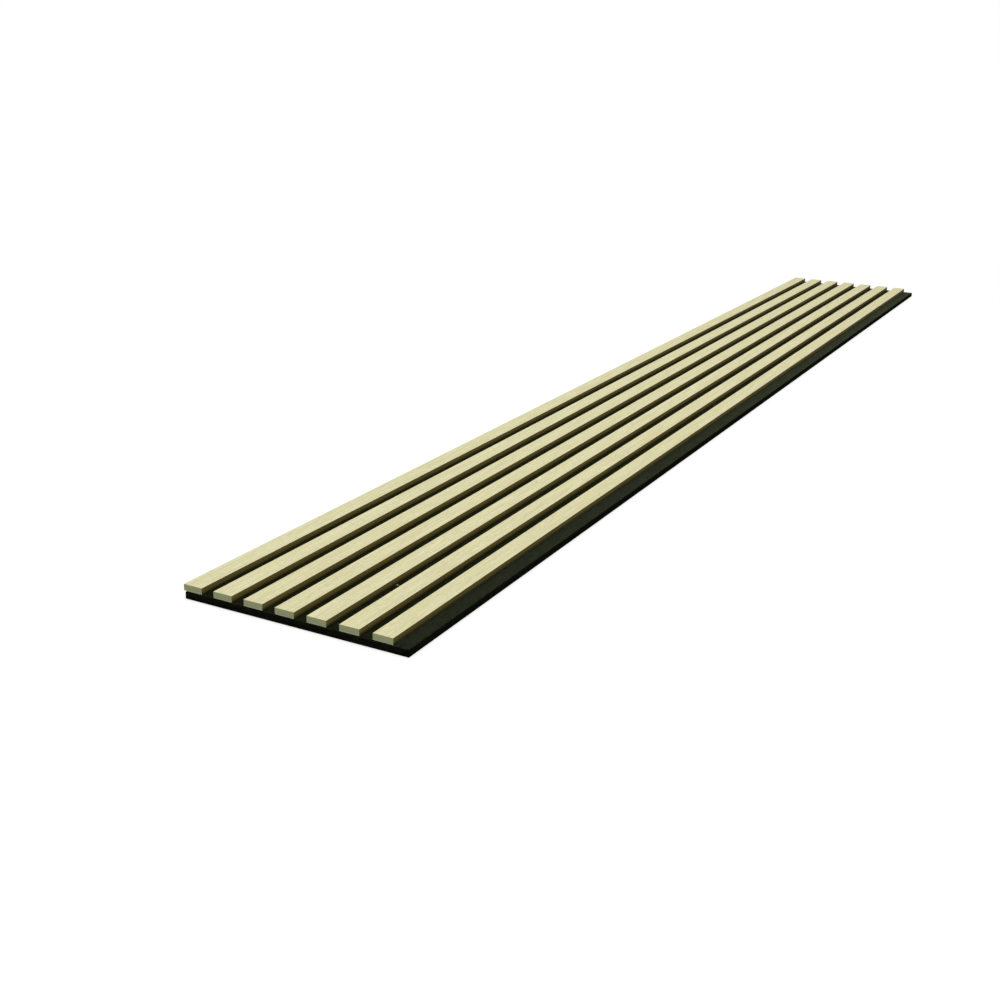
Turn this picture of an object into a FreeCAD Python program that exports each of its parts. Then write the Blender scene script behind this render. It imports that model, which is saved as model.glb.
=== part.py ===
import FreeCAD, Part
import os

from FreeCAD import Vector

# Acoustic slat wall panel, lying on its felt back with the wood face up
# Millimetres: X across the slats, Y along them, Z up from the back of the felt

# Felt board
felt_length = 2400.0
felt_thickness = 9.0

# Slats, counted from the left
slat_count = 7
slat_width = 25.5
slat_thickness = 8.0
slat_gap = 17.0
slat_edge_radius = 0.5
slat_near_setback = 2.0
first_slat_overhang = 3.5

# Wire staples, driven from the back through the felt into each slat
staple_crown = 12.8
staple_wire_width = 0.95
staple_wire_thickness = 0.65
staple_bend_size = 0.6
staple_sink = 0.3
staple_bite = 5.2
staple_point_length = 1.2
staple_spacing = 200.0
staple_end_distance = 60.0
staple_slot_clearance = 0.05

# One pitch of felt for each slat, so that panels laid edge to edge keep the spacing
slat_pitch = slat_width + slat_gap
felt_width = slat_count * slat_pitch

# Places that follow from the sizes
slat_length = felt_length - slat_near_setback
slat_near_end = slat_near_setback - felt_length / 2
slat_bottom = felt_thickness
slat_top = slat_bottom + slat_thickness
left_side = -(felt_width + first_slat_overhang) / 2
crown_bottom = staple_sink
crown_top = crown_bottom + staple_wire_thickness
staple_tip = felt_thickness + staple_bite

# Two lengths closer than this are the same
tiny = 1e-6


def slat_centres():
    """The X position of each slat's centre line, from left to right."""
    first = left_side + slat_width / 2
    return [first + number * slat_pitch for number in range(slat_count)]


def staple_rows():
    """The Y position of each row of staples, the same on every slat."""
    first = slat_near_end + staple_end_distance
    span = slat_length - 2 * staple_end_distance
    steps = max(1, round(span / staple_spacing))
    return [first + row * span / steps for row in range(steps + 1)]


def drawn_out(points, y, length):
    """A solid: the closed outline of some XZ points at one Y, drawn out along Y."""
    corners = [Vector(x, y, z) for x, z in points]
    outline = Part.makePolygon(corners + corners[:1])
    return Part.Face(outline).extrude(Vector(0, length, 0))


def staple(centre, row):
    """A staple of flat wire: a crown across the slat, two bent corners and two chisel-pointed legs."""
    left = centre - staple_crown / 2
    right = centre + staple_crown / 2
    left_inside = left + staple_wire_thickness
    right_inside = right - staple_wire_thickness
    shoulder = staple_tip - staple_point_length
    bend = staple_bend_size
    outline = [
        (left + bend, crown_bottom),
        (right - bend, crown_bottom),
        (right, crown_bottom + bend),
        (right, staple_tip),
        (right_inside, shoulder),
        (right_inside, crown_top),
        (left_inside, crown_top),
        (left_inside, shoulder),
        (left, staple_tip),
        (left, crown_bottom + bend),
    ]
    return drawn_out(outline, row - staple_wire_width / 2, staple_wire_width)


def staple_slot(centre, row):
    """The room that a staple takes: a groove for its crown in the felt's back, and a slot for each leg."""
    clear = staple_slot_clearance
    left = centre - staple_crown / 2 - clear
    right = centre + staple_crown / 2 + clear
    left_inside = left + staple_wire_thickness + 2 * clear
    right_inside = right - staple_wire_thickness - 2 * clear
    end = staple_tip + clear
    outline = [
        (left, 0),
        (right, 0),
        (right, end),
        (right_inside, end),
        (right_inside, crown_top),
        (left_inside, crown_top),
        (left_inside, end),
        (left, end),
    ]
    return drawn_out(outline, row - staple_wire_width / 2 - clear, staple_wire_width + 2 * clear)


def felt_backing():
    """The felt board, cut square, with the room for every staple."""
    corner = Vector(left_side + first_slat_overhang, -felt_length / 2, 0)
    board = Part.makeBox(felt_width, felt_length, felt_thickness, corner)
    slots = [staple_slot(centre, row) for centre in slat_centres() for row in staple_rows()]
    return board.cut(Part.makeCompound(slots))


def slat(centre):
    """One slat: a board with the two long edges of its face eased, and blind slots for its staples' legs."""
    corner = Vector(centre - slat_width / 2, slat_near_end, slat_bottom)
    board = Part.makeBox(slat_width, slat_length, slat_thickness, corner)
    face_edges = [edge for edge in board.Edges if is_long_face_edge(edge)]
    slots = [staple_slot(centre, row) for row in staple_rows()]
    return board.makeFillet(slat_edge_radius, face_edges).cut(Part.makeCompound(slots))


def is_long_face_edge(edge):
    """Whether a slat's edge runs along the slat at the height of its face."""
    box = edge.BoundBox
    return abs(box.YLength - slat_length) < tiny and abs(box.ZMin - slat_top) < tiny


def staples():
    """Every staple of the panel, each a solid of its own."""
    return Part.makeCompound([staple(centre, row) for centre in slat_centres() for row in staple_rows()])


def write(node, shape):
    """Write one sub-part under the name of its node."""
    shape.exportStep(os.path.join("parts", node + ".step"))


os.makedirs("parts", exist_ok=True)
write("felt_backing", felt_backing())
for number, centre in enumerate(slat_centres(), start=1):
    write("slat_" + str(number), slat(centre))
write("staples", staples())
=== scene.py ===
import math

import bpy
import numpy as np
from mathutils import Matrix, Vector


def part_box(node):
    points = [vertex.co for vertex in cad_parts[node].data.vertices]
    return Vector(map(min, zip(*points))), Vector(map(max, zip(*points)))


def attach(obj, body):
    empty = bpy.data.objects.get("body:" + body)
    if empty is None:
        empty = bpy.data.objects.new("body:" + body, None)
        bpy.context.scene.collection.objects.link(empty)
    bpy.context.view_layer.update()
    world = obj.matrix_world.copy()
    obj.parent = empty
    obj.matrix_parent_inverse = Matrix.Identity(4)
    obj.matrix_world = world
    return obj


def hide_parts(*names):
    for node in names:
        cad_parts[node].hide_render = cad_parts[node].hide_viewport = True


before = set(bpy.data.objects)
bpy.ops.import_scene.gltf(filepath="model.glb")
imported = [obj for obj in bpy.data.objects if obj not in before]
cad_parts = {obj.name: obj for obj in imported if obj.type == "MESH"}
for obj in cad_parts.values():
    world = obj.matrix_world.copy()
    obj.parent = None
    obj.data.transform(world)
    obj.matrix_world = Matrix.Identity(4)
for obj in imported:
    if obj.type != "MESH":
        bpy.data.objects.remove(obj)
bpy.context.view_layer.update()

# Felt board: a needle-punched sheet of black polyester fibre, pressed to an even thickness
# and knife-cut, with its cut edges a little rounded and loose. The felt between and under the
# slats and on the back is a darker, warmer copy with less bloom than the bare right margin:
# painted shade, warmed as by light bounced off the slat sides. Every slat is stapled on from
# behind, which leaves dents in the felt's back.

millimetre = 0.001
slat_names = ["slat_" + str(number) for number in range(1, 8)]
slat_boxes = [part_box(name) for name in slat_names]
felt_low, felt_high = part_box("felt_backing")
staples_low, staples_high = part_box("staples")

staple_rows = 12
crown_half = 6.4 * millimetre
wire_width = 0.95 * millimetre
staple_dent = 0.62 * millimetre
staple_dent_reach = 1.7 * millimetre

felt_edge_rounding = 0.7 * millimetre
felt_front_sag = 0.16 * millimetre
felt_back_sag = 0.096 * millimetre
felt_cut_unevenness = 0.12 * millimetre
ripple_waves = 14
ripple_wave_lengths = (0.6, 2.2)    # shares of the size of its features

# Lines of the felt's grid to either side of a staple's middle, in millimetres
grid_about_crown = (0, 3.2, 5.4, 6.4, 7.2, 8.4, 10.0)
grid_about_wire = (0, 0.5, 1.1, 1.9, 3.0, 4.6)
coarsest_across = 7 * millimetre
coarsest_along = 12 * millimetre

# Places in the list of the felt board's materials
shaded_place, cut_place, margin_place = range(3)

# The shaded copy's darker, warmer colours and weaker bloom are painted shade between the slats; the margin's
# are the felt in the open.
shaded_felt_dark, shaded_felt_fibre = (0.0031, 0.0038, 0.0011, 1), (0.0290, 0.0318, 0.0110, 1)
margin_felt_dark, margin_felt_fibre = (0.0030, 0.0040, 0.0017, 1), (0.0285, 0.0342, 0.0165, 1)
cut_shade, cut_fibre = (0.0041, 0.0048, 0.0026, 1), (0.0160, 0.0174, 0.0100, 1)
bloom_tint = (0.85, 1.0, 0.57, 1)
shaded_felt_bloom = 0.06
margin_bloom = 0.30
felt_bump = 0.25 * millimetre
cut_bump = 0.35 * millimetre

# Fibres, layers, clumps and bends are counted per metre. Each laying of fibres is a turn and a
# tilt in radians.
felt_fibres = 1600.0
cut_fibres = 2200.0
cut_layers = 900.0
cut_layer_stretch = (0.12, 0.12, 1.6)
fibre_clumps = 70.0
fibre_bends = 160.0
fibre_bend = 4 * millimetre
fibre_stretch = (1.0, 0.09, 1.0)
fibre_layings = ((0.3, 0.2), (1.4, -0.5), (2.5, 0.4))


def staple_places():
    """The XY middle of every staple's crown: a row across the board at even steps along it."""
    first = staples_low.y + wire_width / 2
    last = staples_high.y - wire_width / 2
    return [
        ((low.x + high.x) / 2, first + (last - first) * row / (staple_rows - 1))
        for low, high in slat_boxes
        for row in range(staple_rows)
    ]


def spread(low, high, marks, offsets, coarse):
    """Grid lines from low to high: the given offsets about each mark, and no step wider than coarse."""
    fixed = sorted({low, high} | {mark + offset for mark in marks for offset in offsets})
    fixed = [line for line in fixed if low <= line <= high]
    lines = []
    for here, there in zip(fixed, fixed[1:]):
        steps = max(1, math.ceil((there - here) / coarse))
        lines += [here + (there - here) * step / steps for step in range(steps)]
    return np.array(lines + [high])


def ripple(x, y, seed, size):
    """A smooth uneven height from 0 to 1 with features of about the given size, the same on every run."""
    random = np.random.default_rng(seed)
    total = np.zeros_like(x)
    for _ in range(ripple_waves):
        angle = random.uniform(0, math.tau)
        wave = math.tau / (size * random.uniform(*ripple_wave_lengths))
        total += np.sin((x * math.cos(angle) + y * math.sin(angle)) * wave + random.uniform(0, math.tau))
    return (0.5 + total / ripple_waves ** 0.5 / 4).clip(0, 1)


def felt_grid():
    """The X and Y of a grid over the board, finer about every staple, within the rounding of its edges."""
    about_crown = [side * step * millimetre for side in (-1, 1) for step in grid_about_crown]
    about_wire = [side * step * millimetre for side in (-1, 1) for step in grid_about_wire]
    columns = sorted({x for x, y in staple_places()})
    rows = sorted({y for x, y in staple_places()})
    left, right = felt_low.x + felt_edge_rounding, felt_high.x - felt_edge_rounding
    near, far = felt_low.y + felt_edge_rounding, felt_high.y - felt_edge_rounding
    xs = spread(left, right, columns, about_crown, coarsest_across)
    ys = spread(near, far, rows, about_wire, coarsest_along)
    return np.meshgrid(xs, ys, indexing="ij")


def felt_back(x, y):
    """The height of the back: a little uneven, with a soft dent round each staple."""
    height = felt_low.z + felt_back_sag * ripple(x, y, seed=3, size=50 * millimetre)
    for crown_x, crown_y in staple_places():
        past_end = (abs(x - crown_x) - crown_half).clip(0)
        distance = np.hypot(past_end, y - crown_y)
        height += staple_dent * np.exp(-(distance / staple_dent_reach) ** 2)
    return height


def felt_front(x, y):
    """The height of the front: flat under the slats and a little uneven where it is bare."""
    height = felt_high.z - felt_front_sag * ripple(x, y, seed=5, size=30 * millimetre)
    for low, high in slat_boxes:
        height[(x > low.x) & (x < high.x) & (y > low.y) & (y < high.y)] = felt_high.z
    return height


def felt_mesh():
    """The board as one closed mesh: two gridded faces joined by five loops round the cut edge."""
    x, y = felt_grid()
    grid = np.arange(x.size).reshape(x.shape)
    ring = np.concatenate([grid[:-1, 0], grid[-1, :-1], grid[:0:-1, -1], grid[0, :0:-1]])
    ring_x, ring_y = x.ravel()[ring], y.ravel()[ring]
    out_x = 1.0 * (ring_x == x.max()) - 1.0 * (ring_x == x.min())
    out_y = 1.0 * (ring_y == y.max()) - 1.0 * (ring_y == y.min())

    points = [np.stack([x.ravel(), y.ravel(), felt_back(x, y).ravel()], 1)]
    loops = [ring]
    count = x.size
    height = felt_high.z - felt_low.z
    inset = felt_edge_rounding
    diagonal = 0.5 ** 0.5
    levels = [
        (inset * (1 - diagonal), inset * diagonal),
        (inset, inset),
        (height / 2, inset),
        (height - inset, inset),
        (height - inset * (1 - diagonal), inset * diagonal),
    ]
    for number, (level, reach) in enumerate(levels):
        rough = felt_cut_unevenness * ripple(ring_x, ring_y, seed=11 + number, size=20 * millimetre)
        reach = (reach - rough).clip(0)
        loop_z = np.full(ring.size, felt_low.z + level)
        points.append(np.stack([ring_x + out_x * reach, ring_y + out_y * reach, loop_z], 1))
        loops.append(count + np.arange(ring.size))
        count += ring.size
    points.append(np.stack([x.ravel(), y.ravel(), felt_front(x, y).ravel()], 1))
    loops.append(count + ring)

    quads = np.stack([grid[:-1, :-1], grid[1:, :-1], grid[1:, 1:], grid[:-1, 1:]], -1).reshape(-1, 4)
    faces = [quads[:, ::-1], quads + count]
    for lower, upper in zip(loops, loops[1:]):
        faces.append(np.stack([lower, np.roll(lower, -1), np.roll(upper, -1), upper], 1))
    mesh = bpy.data.meshes.new("felt_board")
    mesh.from_pydata(np.concatenate(points).tolist(), [], np.concatenate(faces).tolist())
    mesh.polygons.foreach_set("use_smooth", [True] * len(mesh.polygons))

    last_low, last_high = slat_boxes[-1]
    # Front faces right of the last slat's middle take the margin felt; the rest, and the back, take the copy
    # with painted shade.
    in_margin = x[:-1, :-1].ravel() > (last_low.x + last_high.x) / 2
    finish = np.full(len(mesh.polygons), cut_place)
    finish[:len(quads)] = shaded_place
    finish[len(quads):2 * len(quads)] = np.where(in_margin, margin_place, shaded_place)
    mesh.polygons.foreach_set("material_index", finish.tolist())
    mesh.update()
    return mesh


def put(tree, kind, inputs=None, **settings):
    """A shader node with its settings, and each input set to a value or joined to another node's output."""
    made = tree.nodes.new(kind)
    for name, value in settings.items():
        setattr(made, name, value)
    for name, value in (inputs or {}).items():
        if isinstance(value, bpy.types.NodeSocket):
            tree.links.new(value, made.inputs[name])
        else:
            made.inputs[name].default_value = value
    return made


def maths(tree, operation, *values):
    """One sum on numbers or sockets."""
    return put(tree, "ShaderNodeMath", dict(enumerate(values)), operation=operation).outputs[0]


def vector_maths(tree, operation, *values):
    """One sum on places or directions, for each axis by itself."""
    return put(tree, "ShaderNodeVectorMath", dict(enumerate(values)), operation=operation).outputs[0]


def fade(tree, value, start, end, low=0.0, high=1.0):
    """A smooth step from low to high as a value goes from start to end."""
    inputs = {"Value": value, "From Min": start, "From Max": end, "To Min": low, "To Max": high}
    return put(tree, "ShaderNodeMapRange", inputs, interpolation_type="SMOOTHSTEP").outputs["Result"]


def blend_colours(tree, share, first, second):
    """A colour between two, by a share from 0 to 1."""
    return put(tree, "ShaderNodeMix", {0: share, 6: first, 7: second}, data_type="RGBA").outputs[2]


def noise(tree, position, scale, detail, roughness=0.5, output="Fac"):
    """Cloudy values over the surface, with the scale per metre."""
    inputs = {"Vector": position, "Scale": scale, "Detail": detail, "Roughness": roughness}
    return put(tree, "ShaderNodeTexNoise", inputs).outputs[output]


def bumps(tree, height, strength, depth):
    """The surface's direction, with small bumps of a height from 0 to 1."""
    inputs = {"Height": height, "Strength": strength, "Distance": depth}
    return put(tree, "ShaderNodeBump", inputs).outputs["Normal"]


def group(name, inputs, outputs):
    """An empty node group with named inputs of given kinds and outputs of values, and what comes in."""
    tree = bpy.data.node_groups.new(name, "ShaderNodeTree")
    for label, kind in inputs.items():
        tree.interface.new_socket(label, in_out="INPUT", socket_type=kind)
    for label in outputs:
        tree.interface.new_socket(label, in_out="OUTPUT", socket_type="NodeSocketFloat")
    return tree, tree.nodes.new("NodeGroupInput").outputs


def place_group(tree, which, inputs):
    """What comes out of a node group, placed in a material with its own values."""
    return put(tree, "ShaderNodeGroup", inputs, node_tree=which).outputs


def material(name):
    """A new material, its empty tree, and the place on the piece that it finishes."""
    made = bpy.data.materials.new(name)
    made.use_nodes = True
    made.node_tree.nodes.clear()
    return made, made.node_tree, put(made.node_tree, "ShaderNodeTexCoord").outputs["Object"]


def surface(tree, inputs):
    """The shader of an opaque material, joined to its output."""
    shader = put(tree, "ShaderNodeBsdfPrincipled", inputs)
    put(tree, "ShaderNodeOutputMaterial", {"Surface": shader.outputs["BSDF"]})


def piece(name, data, *finishes):
    """A new object in the scene, with its materials."""
    made = bpy.data.objects.new(name, data)
    bpy.context.scene.collection.objects.link(made)
    for finish in finishes:
        data.materials.append(finish)
    return made


def tangled_fibres():
    """Short fibres laid every way: three sets of thin streaks turned against each other, lightest on top."""
    tree, given = group(
        "tangled_fibres",
        {"Position": "NodeSocketVector", "Fibres per Metre": "NodeSocketFloat"},
        ["Fibres", "Clumps"],
    )
    position = given["Position"]
    warp = noise(tree, position, fibre_bends, 2.0, output="Color")
    bent = vector_maths(tree, "MULTIPLY_ADD", warp, (fibre_bend, fibre_bend, fibre_bend), position)
    lightest = 0.0
    for turn, tilt in fibre_layings:
        turned = put(
            tree,
            "ShaderNodeVectorRotate",
            {"Vector": bent, "Rotation": (tilt, tilt / 2, turn)},
            rotation_type="EULER_XYZ",
        )
        drawn = vector_maths(tree, "MULTIPLY", turned.outputs[0], fibre_stretch)
        streaks = noise(tree, drawn, given["Fibres per Metre"], 3.0, 0.6)
        lightest = maths(tree, "MAXIMUM", lightest, streaks)
    clumps = noise(tree, position, fibre_clumps, 5.0, 0.72)
    put(tree, "NodeGroupOutput", {"Fibres": fade(tree, lightest, 0.5, 0.74), "Clumps": clumps})
    return tree


fibre_group = tangled_fibres()


def felt_face(name, shade, fibre, bloom):
    """Matt black fibre. Its loose ends catch the light as a grey-green bloom; the copy with painted shade has
    less.
    """
    made, tree, position = material(name)
    felt = place_group(tree, fibre_group, {"Position": position, "Fibres per Metre": felt_fibres})
    loose = maths(tree, "MULTIPLY", felt["Fibres"], fade(tree, felt["Clumps"], 0.34, 0.66, 0.15))
    surface(
        tree,
        {
            "Base Color": blend_colours(tree, loose, shade, fibre),
            "Roughness": fade(tree, felt["Fibres"], 0.0, 1.0, 0.98, 0.86),
            "Specular IOR Level": 0.04,
            "Sheen Weight": bloom,
            "Sheen Roughness": 0.3,
            "Sheen Tint": bloom_tint,
            "Normal": bumps(tree, felt["Fibres"], 0.7, felt_bump),
        },
    )
    return made


def cut_felt():
    """The knife-cut edge: the same fibre seen end on, in fine pressed layers, darker and with no bloom."""
    made, tree, position = material("cut_felt")
    felt = place_group(tree, fibre_group, {"Position": position, "Fibres per Metre": cut_fibres})
    flattened = vector_maths(tree, "MULTIPLY", position, cut_layer_stretch)
    layers = fade(tree, noise(tree, flattened, cut_layers, 4.0, 0.6), 0.4, 0.7)
    loose = maths(tree, "MAXIMUM", layers, maths(tree, "MULTIPLY", felt["Fibres"], 0.6))
    height = maths(tree, "ADD", felt["Fibres"], layers)
    surface(
        tree,
        {
            "Base Color": blend_colours(tree, loose, cut_shade, cut_fibre),
            "Roughness": fade(tree, layers, 0.0, 1.0, 0.98, 0.88),
            "Specular IOR Level": 0.0,
            "Normal": bumps(tree, height, 0.7, cut_bump),
        },
    )
    return made


# The felt between the slats is a darker, warmer copy with less bloom: painted shade.
shaded_felt = felt_face("shaded_felt", shaded_felt_dark, shaded_felt_fibre, shaded_felt_bloom)
margin_felt = felt_face("margin_felt", margin_felt_dark, margin_felt_fibre, margin_bloom)
felt_board = piece("felt_board", felt_mesh(), shaded_felt, cut_felt(), margin_felt)
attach(felt_board, "root")
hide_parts("felt_backing")

# Slats: straight strips of fibreboard with a pale wood veneer pressed on the face and
# brown-sealed sides, cross-cut square, so their ends show the raw sawn board. They lie
# side by side at one even spacing, and the veneer's two long edges are eased by sanding.

slat_low, slat_high = slat_boxes[0]
slat_width = slat_high.x - slat_low.x
slat_pitch = slat_boxes[1][0].x - slat_low.x
veneer_thickness = 0.6 * millimetre
slat_bump = 0.12 * millimetre

# Depths below the face of the glue line, the start of the ends' painted light at the foot and the
# deepening of the sides' painted shade, and how far the glue line fades to either side
glue_depth = 0.85 * millimetre
glue_fades = (0.3 * millimetre, 0.05 * millimetre)
foot_light_begins = (6.0 * millimetre, 7.6 * millimetre)
side_shade_deepens = (3.5 * millimetre, 8.2 * millimetre)

# Each mark of the grain: its stretch along the grain, scale per metre, detail and roughness,
# and the values between which it fades in
grain_marks = {
    "Blush": ((0.22, 150.0, 4.0, 0.6), (0.4, 0.62)),
    "Flecks": ((0.18, 580.0, 4.0, 0.7), (0.32, 0.68)),
    "Streaks": ((0.03, 430.0, 5.0, 0.66), (0.34, 0.66)),
    "Pores": ((0.045, 2400.0, 2.0, 0.55), (0.57, 0.70)),
}
grain_drift = (0.16, 34.0, 3.0, 0.5)
ring_sway = (0.1, 16.0, 2.0, 0.5)
ring_sway_height = 0.055
ring_slope = 0.012
ring_spacing = 0.0048
arches_per_metre = 60.0
arch_sharpness = 1.5
arch_height = 0.016
between_boards = 3.73

# The veneer's own colours, and the share and colour of each mark laid over them in turn
veneer_cream, veneer_bright = (0.842, 0.838, 0.507, 1), (0.906, 0.900, 0.612, 1)
veneer_warm = (0.850, 0.800, 0.495, 1)
veneer_tints = {
    "Blush": (0.50, (0.860, 0.765, 0.580, 1)),
    "Flecks": (0.58, (0.615, 0.612, 0.325, 1)),
    "Streaks": (0.45, (0.620, 0.550, 0.300, 1)),
    "Rings": (0.25, (0.590, 0.515, 0.260, 1)),
    "Pores": (0.55, (0.470, 0.390, 0.180, 1)),
}
worn_arris = (0.83, 0.79, 0.53, 1)
arris_wears = (1.3 * millimetre, 0.2 * millimetre)
arris_rubs = 130.0

# Brown sealer, plain and streaked, darkened towards the felt by painted shade
side_sealer, side_sealer_streak = (0.262, 0.210, 0.053, 1), (0.208, 0.167, 0.042, 1)
side_painted_shade, side_streak_in_painted_shade = (0.060, 0.050, 0.015, 1), (0.046, 0.039, 0.011, 1)
# painted shade: the last board's sides are darker still, standing in for less light on them
last_board_painted_shade = (0.030, 0.025, 0.008, 1)

sawn_board, sawn_chip = (0.440, 0.482, 0.255, 1), (0.537, 0.574, 0.323, 1)
dark_clump = (0.360, 0.408, 0.220, 1)
# painted light: a paler colour laid over the foot of each sawn end
painted_light_at_foot = (0.700, 0.745, 0.520, 1)
glue_line = (0.28, 0.30, 0.165, 1)
veneer_end = (0.62, 0.60, 0.37, 1)
board_chips = 1500.0
saw_marks = 5200.0


def along_the_grain():
    """Plain-sawn wood, with the grain along Y: streaks, pores and arched growth rings, apart for each board."""
    tree, given = group(
        "along_the_grain",
        {"Position": "NodeSocketVector", "Board": "NodeSocketFloat", "Ring Spacing": "NodeSocketFloat"},
        [*grain_marks, "Drift", "Rings"],
    )
    board = given["Board"]
    apart = put(tree, "ShaderNodeCombineXYZ", {"Y": maths(tree, "MULTIPLY", board, between_boards), "Z": board})
    own = vector_maths(tree, "ADD", given["Position"], apart.outputs[0])
    axes = put(tree, "ShaderNodeSeparateXYZ", {"Vector": own}).outputs

    def drawn_out(along, scale, detail, roughness):
        stretched = vector_maths(tree, "MULTIPLY", own, (1.0, along, 1.0))
        return noise(tree, stretched, scale, detail, roughness)

    made = {name: fade(tree, drawn_out(*look), *limits) for name, (look, limits) in grain_marks.items()}
    made["Drift"] = drawn_out(*grain_drift)

    slope = maths(tree, "MULTIPLY", axes["Y"], ring_slope)
    depth = maths(tree, "MULTIPLY_ADD", drawn_out(*ring_sway), ring_sway_height, slope)
    wave = maths(tree, "SINE", maths(tree, "MULTIPLY", axes["X"], arches_per_metre))
    arch = maths(tree, "POWER", maths(tree, "ABSOLUTE", wave), arch_sharpness)
    field = maths(tree, "MULTIPLY_ADD", arch, arch_height, depth)
    phase = maths(tree, "FRACT", maths(tree, "DIVIDE", field, given["Ring Spacing"]))
    made["Rings"] = maths(tree, "MULTIPLY", fade(tree, phase, 0.0, 0.72), fade(tree, phase, 1.0, 0.86))
    put(tree, "NodeGroupOutput", made)
    return tree


grain_group = along_the_grain()


def veneered_face(tree, position, board, from_edge, grain):
    """The veneer's colour: a tone of its own for each board, the grain laid over it, and a worn arris."""
    tone = put(tree, "ShaderNodeTexWhiteNoise", {"W": board}, noise_dimensions="1D").outputs["Value"]
    pale = blend_colours(tree, grain["Drift"], veneer_cream, veneer_bright)
    face = blend_colours(tree, maths(tree, "MULTIPLY", tone, 0.5), pale, veneer_warm)
    for mark, (share, tint) in veneer_tints.items():
        face = blend_colours(tree, maths(tree, "MULTIPLY", grain[mark], share), face, tint)
    rubbed = fade(tree, noise(tree, position, arris_rubs, 4.0), 0.3, 0.7, 0.35)
    worn = maths(tree, "MULTIPLY", fade(tree, from_edge, *arris_wears), rubbed)
    return blend_colours(tree, maths(tree, "MULTIPLY", worn, 0.7), face, worn_arris)


def sealed_side(tree, board, below_face, grain):
    """The sides' colour: brown sealer, with painted shade that darkens it towards the felt and a deeper painted
    shade on the last board.
    """
    open_side = blend_colours(tree, grain["Streaks"], side_sealer, side_sealer_streak)
    shaded_side = blend_colours(tree, grain["Streaks"], side_painted_shade, side_streak_in_painted_shade)
    # painted shade: the sides darken towards the felt, where shade falls in the gaps
    side = blend_colours(tree, fade(tree, below_face, *side_shade_deepens), open_side, shaded_side)
    last_board = len(slat_names) - 1
    # painted shade: a darker sealer colour on the last board's sides
    last_board_shade = fade(tree, board, last_board - 0.8, last_board - 0.2, 0.0, 0.3)
    return blend_colours(tree, last_board_shade, side, last_board_painted_shade)


def sawn_end(tree, below_face, chips):
    """The ends' colour: sawn fibreboard, paler towards the foot as painted light, and the glue line and veneer
    on top.
    """
    end = blend_colours(tree, chips["Fibres"], sawn_board, sawn_chip)
    end = blend_colours(tree, fade(tree, chips["Clumps"], 0.45, 0.75, 0.0, 0.35), end, dark_clump)
    # painted light: the foot of each end is lifted paler against the shade near the felt
    end = blend_colours(tree, fade(tree, below_face, *foot_light_begins, 0.0, 0.8), end, painted_light_at_foot)
    from_glue = maths(tree, "ABSOLUTE", maths(tree, "SUBTRACT", below_face, glue_depth))
    glue = maths(tree, "MULTIPLY", fade(tree, from_glue, *glue_fades), 0.3)
    end = blend_colours(tree, glue, end, glue_line)
    in_veneer = fade(tree, below_face, veneer_thickness * 1.15, veneer_thickness * 0.85)
    return blend_colours(tree, in_veneer, end, veneer_end)


def veneered_slat():
    """The whole finish of a slat: pale veneer on the face, brown sides, sawn ends and a worn arris."""
    made, tree, position = material("veneered_slat")
    axes = put(tree, "ShaderNodeSeparateXYZ", {"Vector": position}).outputs
    direction = put(tree, "ShaderNodeTexCoord").outputs["Normal"]
    facing = put(tree, "ShaderNodeSeparateXYZ", {"Vector": direction}).outputs
    from_first = maths(tree, "DIVIDE", maths(tree, "SUBTRACT", axes["X"], slat_low.x), slat_pitch)
    board = maths(tree, "FLOOR", from_first)
    from_left = maths(tree, "MULTIPLY", maths(tree, "FRACT", from_first), slat_pitch)
    from_edge = maths(tree, "MINIMUM", from_left, maths(tree, "SUBTRACT", slat_width, from_left))
    below_face = maths(tree, "SUBTRACT", slat_high.z, axes["Z"])
    grain = place_group(tree, grain_group, {"Position": position, "Board": board, "Ring Spacing": ring_spacing})
    chips = place_group(tree, fibre_group, {"Position": position, "Fibres per Metre": board_chips})

    at_face = fade(tree, facing["Z"], 0.25, 0.6)
    at_end = fade(tree, maths(tree, "ABSOLUTE", facing["Y"]), 0.5, 0.8)
    face = veneered_face(tree, position, board, from_edge, grain)
    side = sealed_side(tree, board, below_face, grain)
    lengthwise = blend_colours(tree, at_face, side, face)

    face_roughness = fade(tree, grain["Streaks"], 0.0, 1.0, 0.62, 0.78)
    end_roughness = maths(tree, "MULTIPLY", at_end, 0.9)
    streak_height = maths(tree, "MULTIPLY", grain["Streaks"], -0.5)
    face_height = maths(tree, "MULTIPLY_ADD", grain["Pores"], -1.0, streak_height)
    saw_axis = maths(tree, "MULTIPLY", maths(tree, "ADD", axes["X"], axes["Z"]), saw_marks)
    saw = maths(tree, "MULTIPLY_ADD", maths(tree, "SINE", saw_axis), 0.5, 0.5)
    end_height = maths(tree, "MULTIPLY_ADD", saw, 0.35, chips["Fibres"])
    end_step = maths(tree, "SUBTRACT", end_height, face_height)
    height = maths(tree, "MULTIPLY_ADD", at_end, end_step, face_height)
    surface(
        tree,
        {
            "Base Color": blend_colours(tree, at_end, lengthwise, sawn_end(tree, below_face, chips)),
            "Roughness": maths(tree, "MAXIMUM", face_roughness, end_roughness),
            "Specular IOR Level": 0.08,
            "Normal": bumps(tree, height, 0.35, slat_bump),
        },
    )
    return made


slat_finish = veneered_slat()
for name in slat_names:
    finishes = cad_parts[name].data.materials
    finishes.clear()
    finishes.append(slat_finish)

# Staples: flat galvanised wire bent to a U and driven from behind through the felt into
# each slat. The crown lies across the slat, pulled a little below the felt's back, and
# the two chisel-pointed legs stop inside the slat.

wire_thickness = 0.65 * millimetre
wire_rounding = 0.16 * millimetre
bend_radius = 0.9 * millimetre
bend_steps = 5
point_length = 1.2 * millimetre
staple_skew = 1.2    # degrees
staple_seed = 21

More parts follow.
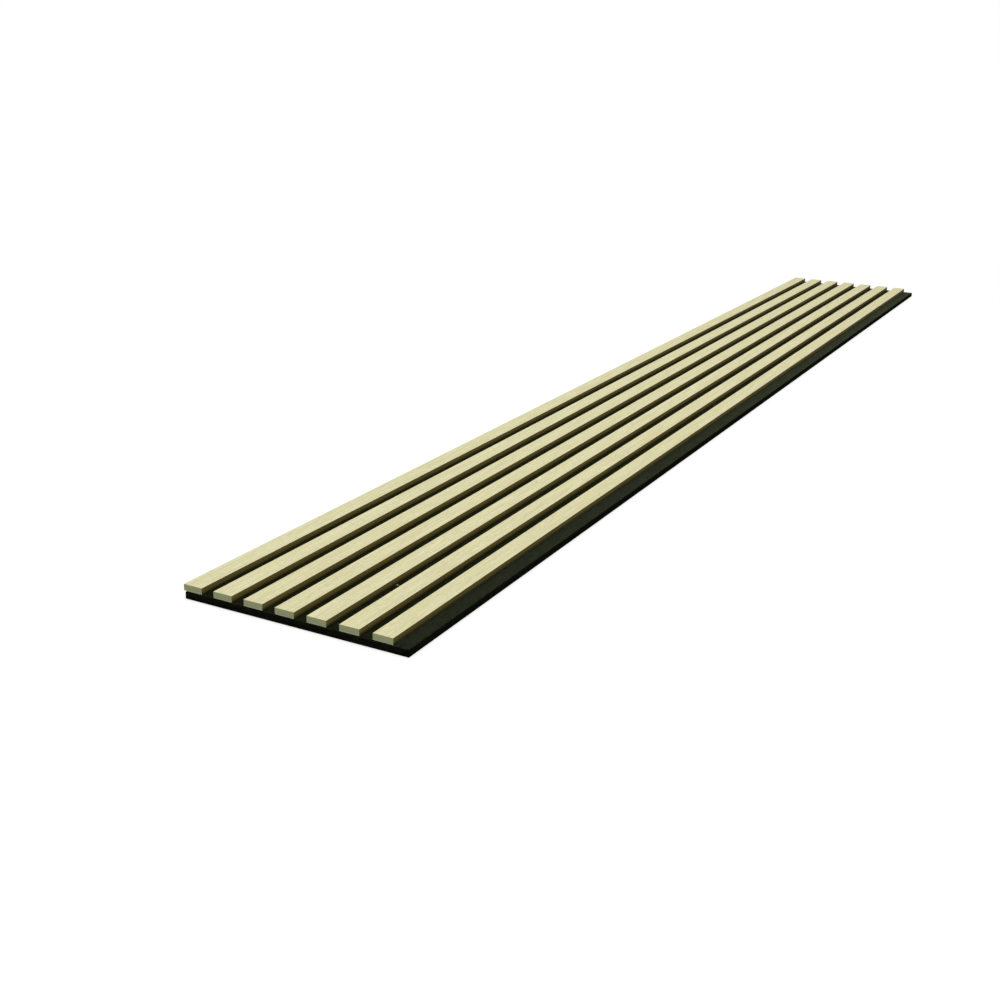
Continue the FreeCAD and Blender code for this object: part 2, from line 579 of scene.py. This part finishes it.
zinc_dark, zinc_light = (0.42, 0.43, 0.45, 1), (0.58, 0.59, 0.61, 1)
rubbed_zinc = (0.24, 0.235, 0.23, 1)
drawn_lines = 9000.0
drawn_line_stretch = (0.06, 1.0, 0.06)
spangles = 1400.0
wire_rubs = 420.0
wire_bump = 0.02 * millimetre


def wire_outline():
    """The flat wire's rounded section, as steps across the wire and out of the U."""
    half_width, half_thickness = wire_width / 2, wire_thickness / 2
    outline = []
    for across, out in ((1, -1), (1, 1), (-1, 1), (-1, -1)):
        on_side = (across * half_width, out * (half_thickness - wire_rounding))
        on_flat = (across * (half_width - wire_rounding), out * half_thickness)
        outline += [on_flat, on_side] if across * out < 0 else [on_side, on_flat]
    return outline


def staple_stations():
    """Stops along the wire from point to point, each with its place in XZ and the way out of the U."""
    leg = crown_half - wire_thickness / 2
    radius = bend_radius - wire_thickness / 2
    stations = [(-leg, staples_high.z, math.pi)]
    for side, start in ((-1, math.pi), (1, 1.5 * math.pi)):
        for step in range(bend_steps + 1):
            angle = start + math.pi / 2 * step / bend_steps
            x = side * (crown_half - bend_radius) + radius * math.cos(angle)
            z = staples_low.z + bend_radius + radius * math.sin(angle)
            stations.append((x, z, angle))
    stations.append((leg, staples_high.z, math.tau))
    return stations


def staple_mesh():
    """Every staple as a closed sweep of the wire, each skewed a little as the gun leaves them."""
    random = np.random.default_rng(staple_seed)
    outline = wire_outline()
    around = len(outline)
    stations = staple_stations()
    points, faces = [], []
    for crown_x, crown_y in staple_places():
        skew = math.radians(random.uniform(-staple_skew, staple_skew))
        first = len(points)
        for number, (x, z, angle) in enumerate(stations):
            at_point = number in (0, len(stations) - 1)
            for across, out in outline:
                ground_off = point_length * (0.5 - out / wire_thickness) if at_point else 0
                along = x + out * math.cos(angle)
                place_x = crown_x + along * math.cos(skew) - across * math.sin(skew)
                place_y = crown_y + along * math.sin(skew) + across * math.cos(skew)
                points.append((place_x, place_y, z + out * math.sin(angle) - ground_off))
        last = len(points) - around
        for here_first in range(first, last, around):
            for corner in range(around):
                here = here_first + corner
                beside = here_first + (corner + 1) % around
                faces.append((here, here + around, beside + around, beside))
        faces.append(tuple(range(first, first + around)))
        faces.append(tuple(range(last, last + around))[::-1])
    mesh = bpy.data.meshes.new("staples_in_back")
    mesh.from_pydata(points, [], faces)
    mesh.update()
    return mesh


def galvanised_wire():
    """Zinc-coated steel: fine drawn lines along the crown, dull spangle and a few darker rubs."""
    made, tree, position = material("galvanised_wire")
    along_crown = vector_maths(tree, "MULTIPLY", position, drawn_line_stretch)
    lines = noise(tree, along_crown, drawn_lines, 3.0)
    spangle = put(tree, "ShaderNodeTexVoronoi", {"Vector": position, "Scale": spangles}).outputs["Distance"]
    rubs = noise(tree, position, wire_rubs, 4.0)
    zinc = blend_colours(tree, spangle, zinc_dark, zinc_light)
    dull = maths(tree, "MULTIPLY", fade(tree, rubs, 0.52, 0.72), 0.6)
    surface(
        tree,
        {
            "Base Color": blend_colours(tree, dull, zinc, rubbed_zinc),
            "Metallic": 1.0,
            "Roughness": fade(tree, rubs, 0.3, 0.7, 0.32, 0.52),
            "Normal": bumps(tree, lines, 0.25, wire_bump),
        },
    )
    return made


staples = piece("staples_in_back", staple_mesh(), galvanised_wire())
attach(staples, "root")
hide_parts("staples")

# Stray tuft: a wisp of pale polyester fibres pulled up out of the felt at the foot of the
# fifth slat. It lies across the gap and hangs on by its own roots.

tuft_along = 0.1393
tuft_from_slat = 3.4 * millimetre
tuft_fibres = 26
tuft_reach = 2.3 * millimetre
tuft_reach_shares = (0.6, 1.0)
tuft_turn = 0.22    # radians
fibre_spans = 5
fibre_radius = 0.075 * millimetre
tuft_seed = 8

# How high each fibre arches, and how far it is set and wanders over the felt, in millimetres
tuft_lift = (0.2, 0.9)
tuft_spread = (0.4, 0.5)
fibre_wander = 0.35

fibre_dark, fibre_light = (0.26, 0.26, 0.21, 1), (0.60, 0.60, 0.50, 1)
fibre_patches = 700.0
tuft_bump = 0.05 * millimetre


def sideways(random, across, along):
    """A random step in millimetres over the felt, as far as the given reaches either way."""
    return Vector((random.uniform(-across, across), random.uniform(-along, along), 0))


def tuft_curve():
    """Short arched fibres lying nearly the same way on one small patch of felt, each a thin round curve."""
    random = np.random.default_rng(tuft_seed)
    fifth_slat_side = slat_boxes[4][1].x
    patch = Vector((fifth_slat_side + tuft_from_slat, felt_low.y + tuft_along, felt_high.z))
    curve = bpy.data.curves.new("stray_tuft", "CURVE")
    curve.dimensions = "3D"
    curve.bevel_depth = fibre_radius
    curve.bevel_resolution = 2
    curve.resolution_u = 6
    curve.use_fill_caps = True
    for _ in range(tuft_fibres):
        heading = random.normal(0, tuft_turn)
        reach = tuft_reach * random.uniform(*tuft_reach_shares)
        lift = random.uniform(*tuft_lift) * millimetre
        offset = sideways(random, *tuft_spread) * millimetre
        spline = curve.splines.new("NURBS")
        spline.points.add(fibre_spans)
        for step, point in enumerate(spline.points):
            share = step / fibre_spans - 0.5
            wander = sideways(random, 1, 1) * fibre_wander * millimetre
            flat = Vector((math.cos(heading), math.sin(heading), 0)) * reach * 2 * share
            rise = Vector((0, 0, lift * math.cos(math.pi * share)))
            point.co = (*(patch + offset + flat + wander + rise), 1)
            point.radius = 1 - abs(share)
        spline.order_u = 3
        spline.use_endpoint_u = True
    return curve


def pale_fibre():
    """Undyed polyester, off-white with darker lengths."""
    made, tree, position = material("pale_fibre")
    patches = noise(tree, position, fibre_patches, 2.0)
    surface(
        tree,
        {
            "Base Color": blend_colours(tree, patches, fibre_dark, fibre_light),
            "Roughness": fade(tree, patches, 0.3, 0.7, 0.6, 0.8),
            "Normal": bumps(tree, patches, 0.3, tuft_bump),
        },
    )
    return made


tuft = piece("stray_tuft", tuft_curve(), pale_fibre())
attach(tuft, "root")

# Floor and backdrop: a wide plain white sheet that the panel lies on, with white beyond
# it, so the panel stands alone and keeps only the soft shadow under its edges.

floor_size = 60.0
floor_drop = 0.1 * millimetre
floor_glow = 0.66
shadow_reach = 1.6
white_from = 4.5
room_light = 0.45
paper_dark, paper_light = (0.39, 0.39, 0.39, 1), (0.42, 0.42, 0.42, 1)
paper_tooth = 60.0


def floor_mesh():
    """One square face, just under the felt."""
    half = floor_size / 2
    level = felt_low.z - floor_drop
    mesh = bpy.data.meshes.new("floor_sheet")
    corners = [(-half, -half, level), (half, -half, level), (half, half, level), (-half, half, level)]
    mesh.from_pydata(corners, [], [(0, 1, 2, 3)])
    return mesh


def white_sheet():
    """Pale matt paper that reads as white to the eye, and keeps the panel's shadow."""
    made, tree, position = material("white_sheet")
    colour = blend_colours(tree, noise(tree, position, paper_tooth, 3.0), paper_dark, paper_light)
    paper = put(tree, "ShaderNodeBsdfDiffuse", {"Color": colour}).outputs[0]
    from_middle = put(tree, "ShaderNodeVectorMath", {0: position}, operation="LENGTH").outputs["Value"]
    glow_strength = fade(tree, from_middle, shadow_reach, white_from, floor_glow, 1.0)
    glow = put(tree, "ShaderNodeEmission", {"Strength": glow_strength}).outputs[0]
    both = put(tree, "ShaderNodeAddShader", {0: paper, 1: glow}).outputs[0]
    seen = put(tree, "ShaderNodeLightPath").outputs["Is Camera Ray"]
    shown = put(tree, "ShaderNodeMixShader", {0: seen, 1: paper, 2: both}).outputs[0]
    put(tree, "ShaderNodeOutputMaterial", {"Surface": shown})
    return made


def white_room():
    """White all round to the eye and in reflections, and an even soft light on the panel."""
    room = bpy.data.worlds.new("white_room")
    room.use_nodes = True
    tree = room.node_tree
    tree.nodes.clear()
    path = put(tree, "ShaderNodeLightPath").outputs
    seen = maths(tree, "MAXIMUM", path["Is Camera Ray"], path["Is Glossy Ray"])
    seen = maths(tree, "MAXIMUM", seen, path["Is Transmission Ray"])
    strength = maths(tree, "MULTIPLY_ADD", seen, 1.0 - room_light, room_light)
    light = put(tree, "ShaderNodeBackground", {"Color": (1, 1, 1, 1), "Strength": strength})
    put(tree, "ShaderNodeOutputWorld", {"Surface": light.outputs[0]})
    return room


floor = piece("floor_sheet", floor_mesh(), white_sheet())
bpy.context.scene.world = white_room()

# Studio light: one large softbox hung high over the near half of the panel. It lights the
# wood faces evenly, a little less towards the far end, and casts no long shadows.

softbox_power = 209.0
softbox_size = 5.5
softbox_place = Vector((0, -0.9, 5.5))

softbox_lamp = bpy.data.lights.new("softbox", "AREA")
softbox_lamp.shape = "SQUARE"
softbox_lamp.size = softbox_size
softbox_lamp.energy = softbox_power
softbox = piece("softbox", softbox_lamp)
softbox.location = softbox_place

# Camera: low over the near end and to the right of the panel, looking along it, as the
# panel is seen in the photograph.

camera_place = Vector((0.8201, -2.2773, 0.6210))
camera_bearing = math.radians(-27.7611)
camera_dip = math.radians(19.3671)
camera_roll = math.radians(1.3191)
camera_focal_length = 48.5287
camera_sensor = 36.0

ahead = Vector(
    (
        math.sin(camera_bearing) * math.cos(camera_dip),
        math.cos(camera_bearing) * math.cos(camera_dip),
        -math.sin(camera_dip),
    )
)
level_right = ahead.cross(Vector((0, 0, 1))).normalized()
level_up = level_right.cross(ahead)
right = level_right * math.cos(camera_roll) + level_up * math.sin(camera_roll)
up = level_up * math.cos(camera_roll) - level_right * math.sin(camera_roll)
lens = bpy.data.cameras.new("camera")
lens.lens = camera_focal_length
lens.sensor_width = camera_sensor
camera = piece("camera", lens)
turned = Matrix((right, up, -ahead)).transposed()
camera.matrix_world = Matrix.Translation(camera_place) @ turned.to_4x4()
bpy.context.scene.camera = camera
bpy.context.scene.view_settings.view_transform = "Standard"
